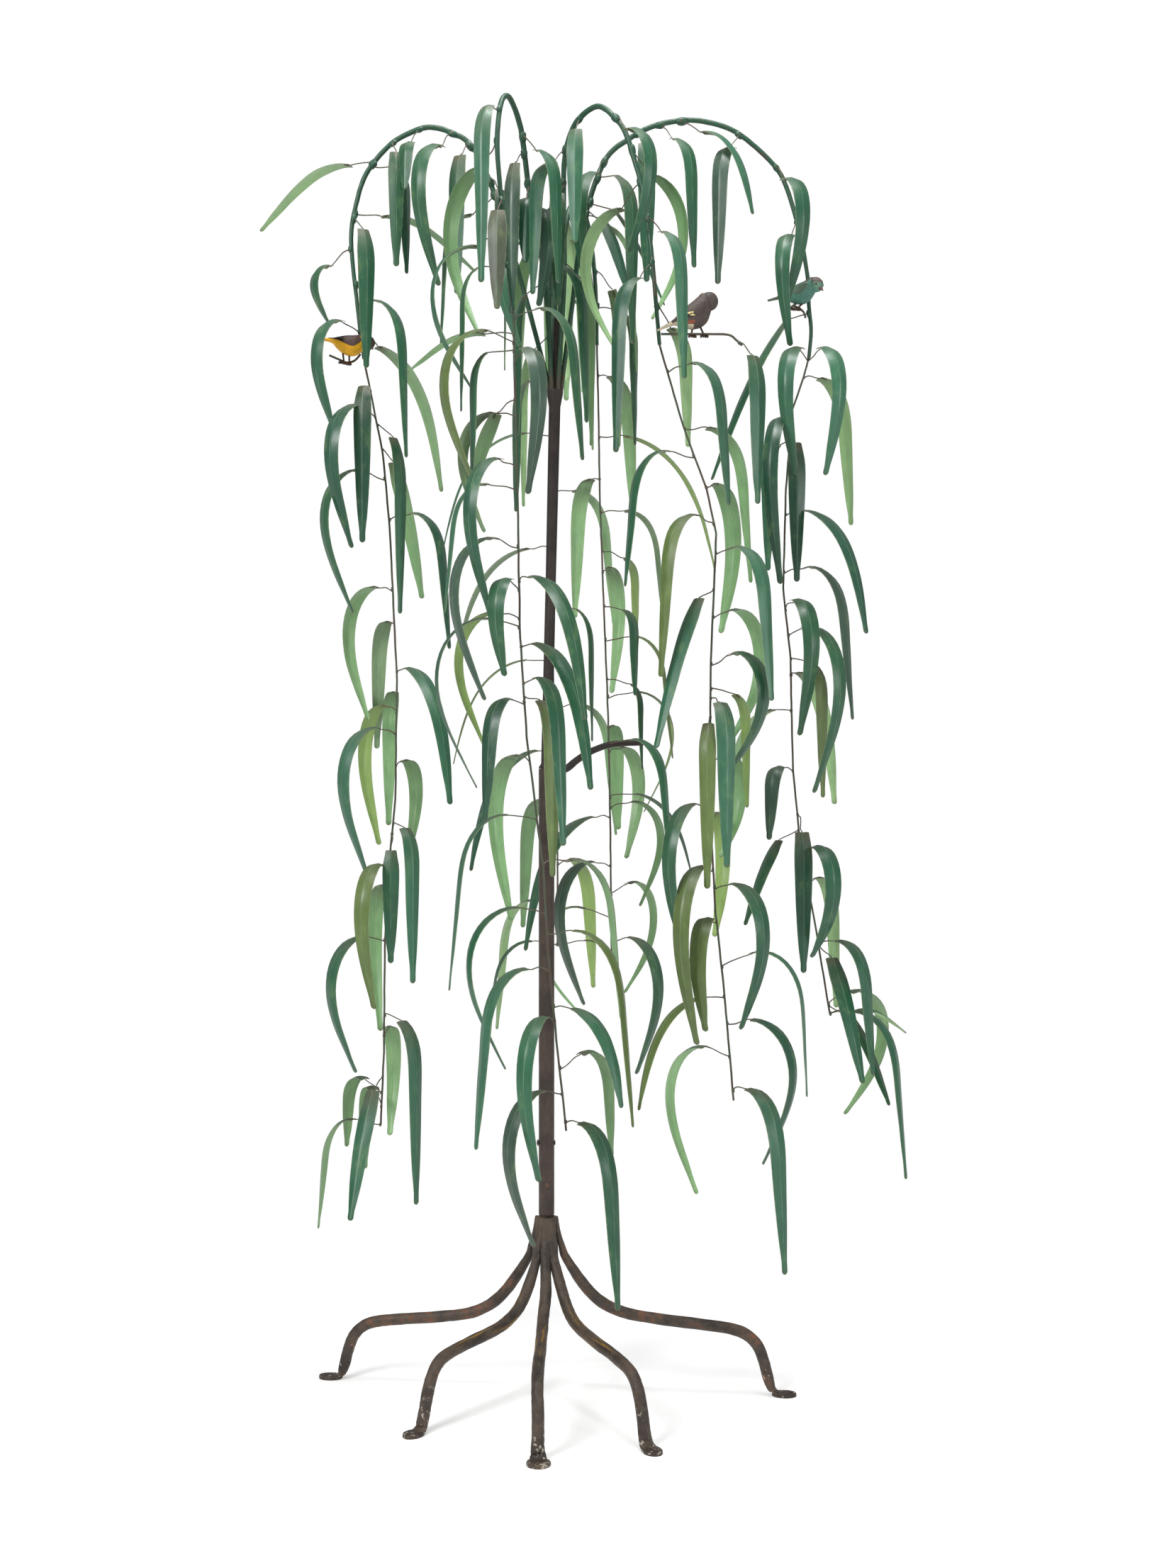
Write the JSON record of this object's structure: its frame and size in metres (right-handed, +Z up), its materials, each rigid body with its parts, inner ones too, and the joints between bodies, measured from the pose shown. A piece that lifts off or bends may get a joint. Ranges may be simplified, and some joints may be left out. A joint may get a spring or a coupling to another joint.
{
  "type": "tole tree sculpture",
  "caption": "Painted sheet-metal weeping tree with hanging leafy strands and perched birds, on a forged iron post and splayed feet.",
  "frame": {"origin": "middle of the underside of the whole tree: on the floor, under the middle of its widths", "axes": "+Z up, +X to the right as seen from the front, +Y to the back; the five feet spread to the front and the sides"},
  "size_m": [0.9368, 0.6822, 1.7904],
  "materials": {
    "forged_legs": "rust and worn brown paint over forged iron",
    "hub": "worn brown paint with rust",
    "post": "worn dark brown paint",
    "pins": "bare worn steel",
    "trunk": "dark brown paint",
    "leaves": "aged green paint, dark outside and pale inside",
    "stems": "green brown paint with rust spots",
    "branches": "green paint",
    "strands": "green brown paint with rust spots",
    "twigs": "green paint",
    "bird_feet": "brown wire",
    "bird_yellow": "cold painted yellow with dark brown wings and head",
    "bird_dark": "cold painted dark brown with pale bars",
    "bird_green": "cold painted green with a dusty back"
  },
  "bodies": {
    "stand_and_crown": {"base_hub": "hub", "bird_front_right": "bird_dark", "bird_front_right_feet": "bird_feet", "bird_left": "bird_yellow", "bird_left_feet": "bird_feet", "bird_right": "bird_green", "bird_right_feet": "bird_feet", "branch_back": "branches", "branch_back_leaves": "leaves", "branch_back_right": "branches", "branch_back_right_leaves": "leaves", "branch_back_right_stems": "stems", "branch_back_stems": "stems", "branch_front_left": "branches", "branch_front_left_leaves": "leaves", "branch_front_left_stems": "stems", "branch_front_right": "branches", "branch_front_right_leaves": "leaves", "branch_front_right_stems": "stems", "branch_left": "branches", "branch_left_leaves": "leaves", "branch_left_stems": "stems", "branch_right": "branches", "branch_right_leaves": "leaves", "branch_right_stems": "stems", "foot_plates": "forged_legs", "leg_front": "forged_legs", "leg_front_left": "forged_legs", "leg_front_right": "forged_legs", "leg_left": "forged_legs", "leg_right": "forged_legs", "lower_cross_pin": "pins", "post_tube": "post", "side_branch": "trunk", "side_branch_leaf": "leaves", "trunk_rod": "trunk", "twig_front_right": "twigs", "twig_front_right_leaf": "leaves", "twig_left": "twigs", "twig_right": "twigs", "upper_cross_pin": "pins"},
    "swaying_strand_left": {"strand_left": "strands", "strand_left_leaves": "leaves", "strand_left_stems": "stems"},
    "swaying_strand_front_left": {"strand_front_left": "strands", "strand_front_left_leaves": "leaves", "strand_front_left_stems": "stems"},
    "swaying_strand_front_right": {"strand_front_right": "strands", "strand_front_right_leaves": "leaves", "strand_front_right_stems": "stems"},
    "swaying_strand_right": {"strand_right": "strands", "strand_right_leaves": "leaves", "strand_right_stems": "stems"},
    "swaying_strand_back_right": {"strand_back_right": "strands", "strand_back_right_leaves": "leaves", "strand_back_right_stems": "stems"},
    "swaying_strand_back": {"strand_back": "strands", "strand_back_leaves": "leaves", "strand_back_stems": "stems"}
  },
  "joints": [
    {"name": "sway_left", "type": "hinge", "parent": "stand_and_crown", "child": "swaying_strand_left", "pos_m": [-0.30403, 0.00949, 1.44983], "axis": [0, 1, 0], "range_deg": [-3, 3], "stiffness_Nm_per_rad": 1.2},
    {"name": "sway_front_left", "type": "hinge", "parent": "stand_and_crown", "child": "swaying_strand_front_left", "pos_m": [-0.08541, -0.19013, 1.47172], "axis": [-0.9397, 0.342, 0], "range_deg": [-3, 3], "stiffness_Nm_per_rad": 1.2},
    {"name": "sway_front_right", "type": "hinge", "parent": "stand_and_crown", "child": "swaying_strand_front_right", "pos_m": [0.10664, -0.16055, 1.43158], "axis": [-0.866, -0.5, 0], "range_deg": [-3, 3], "stiffness_Nm_per_rad": 1.2},
    {"name": "sway_right", "type": "hinge", "parent": "stand_and_crown", "child": "swaying_strand_right", "pos_m": [0.32347, 0.00949, 1.45165], "axis": [0, -1, 0], "range_deg": [-3, 3], "stiffness_Nm_per_rad": 1.2},
    {"name": "sway_back_right", "type": "hinge", "parent": "stand_and_crown", "child": "swaying_strand_back_right", "pos_m": [0.02541, 0.15784, 1.50275], "axis": [0.8191, -0.5736, 0], "range_deg": [-3, 3], "stiffness_Nm_per_rad": 1.2},
    {"name": "sway_back", "type": "hinge", "parent": "stand_and_crown", "child": "swaying_strand_back", "pos_m": [-0.04683, 0.24416, 1.4699], "axis": [0.9962, 0.0872, 0], "range_deg": [-3, 3], "stiffness_Nm_per_rad": 1.2}
  ]
}
